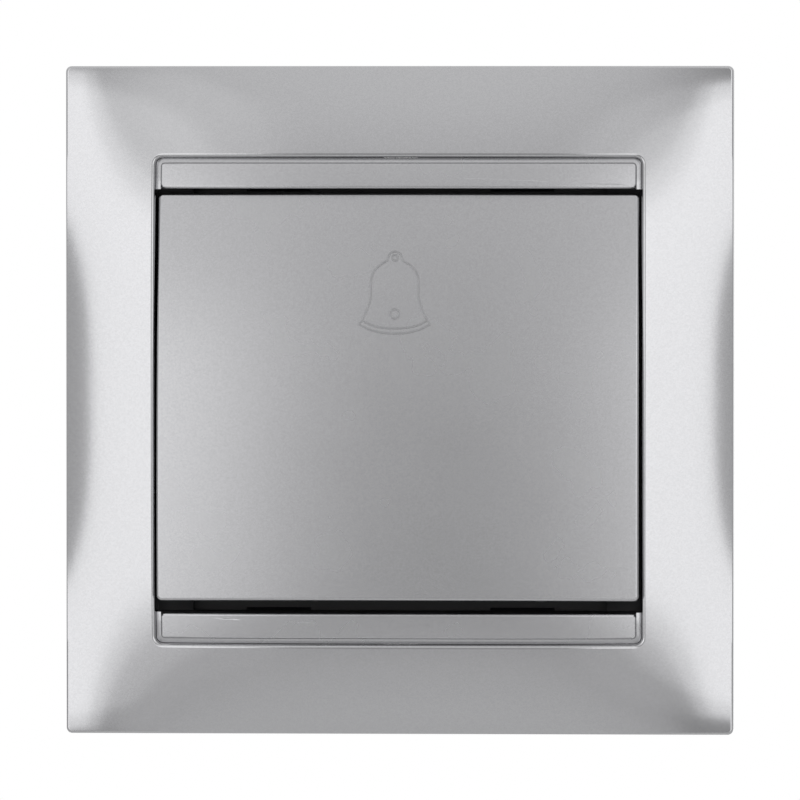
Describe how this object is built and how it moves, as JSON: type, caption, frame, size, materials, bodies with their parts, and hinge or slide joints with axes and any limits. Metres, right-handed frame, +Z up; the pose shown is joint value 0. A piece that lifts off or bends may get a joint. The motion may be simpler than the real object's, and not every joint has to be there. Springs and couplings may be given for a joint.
{
  "type": "doorbell push button",
  "caption": "Square flush-mounted bell push: a crowned silver frame, a broad rocking key marked with an outlined bell, and a switch insert with claws behind it.",
  "frame": {"origin": "middle of the mounting strap's back, on the wall's surface", "axes": "+X to the right seen from the front, +Y into the wall, +Z up; the front faces -Y"},
  "size_m": [0.082, 0.0282, 0.082],
  "materials": {
    "silver_gloss": "moulded ABS with a glossy metallic silver lacquer",
    "silver_satin": "moulded ABS with a satin metallic silver lacquer",
    "black_plastic": "moulded black nylon",
    "black_steel": "sheet steel with a thin black dipped coat",
    "zinc_steel": "zinc plated",
    "brass": "bare brass",
    "bronze": "rolled phosphor bronze",
    "silver_contact": "bare contact silver",
    "spring_steel": "drawn wire"
  },
  "bodies": {
    "insert": {"cover_frame": "silver_gloss", "key_surround": "silver_satin", "mounting_strap": "black_steel", "insert_base": "black_plastic", "leaf_contact": "bronze", "fixed_contact": "brass", "leaf_tip": "silver_contact", "fixed_tip": "silver_contact", "terminal_left": "brass", "terminal_right": "brass", "terminal_screw_left": "zinc_steel", "terminal_screw_right": "zinc_steel", "strip_rivet_left": "brass", "strip_rivet_right": "brass", "return_spring": "spring_steel"},
    "key": {"push_key": "silver_satin", "rocker": "black_plastic"},
    "left_claw": {"claw_left": "zinc_steel", "claw_screw_left": "zinc_steel"},
    "right_claw": {"claw_right": "zinc_steel", "claw_screw_right": "zinc_steel"}
  },
  "joints": [
    {"name": "key_rock", "type": "hinge", "parent": "insert", "child": "key", "pos_m": [0, -0.0024, 0], "axis": [1, 0, 0], "range_deg": [0, 8], "stiffness_Nm_per_rad": 0.25, "springref_deg": -8.59, "deforming": ["return_spring", "leaf_contact"]},
    {"name": "claw_left_swing", "type": "hinge", "parent": "insert", "child": "left_claw", "pos_m": [-0.0216, -0.0014, 0], "axis": [0, 0, 1], "range_deg": [0, 8]},
    {"name": "claw_right_swing", "type": "hinge", "parent": "insert", "child": "right_claw", "pos_m": [0.0216, -0.0014, 0], "axis": [0, 0, -1], "range_deg": [0, 8]}
  ]
}
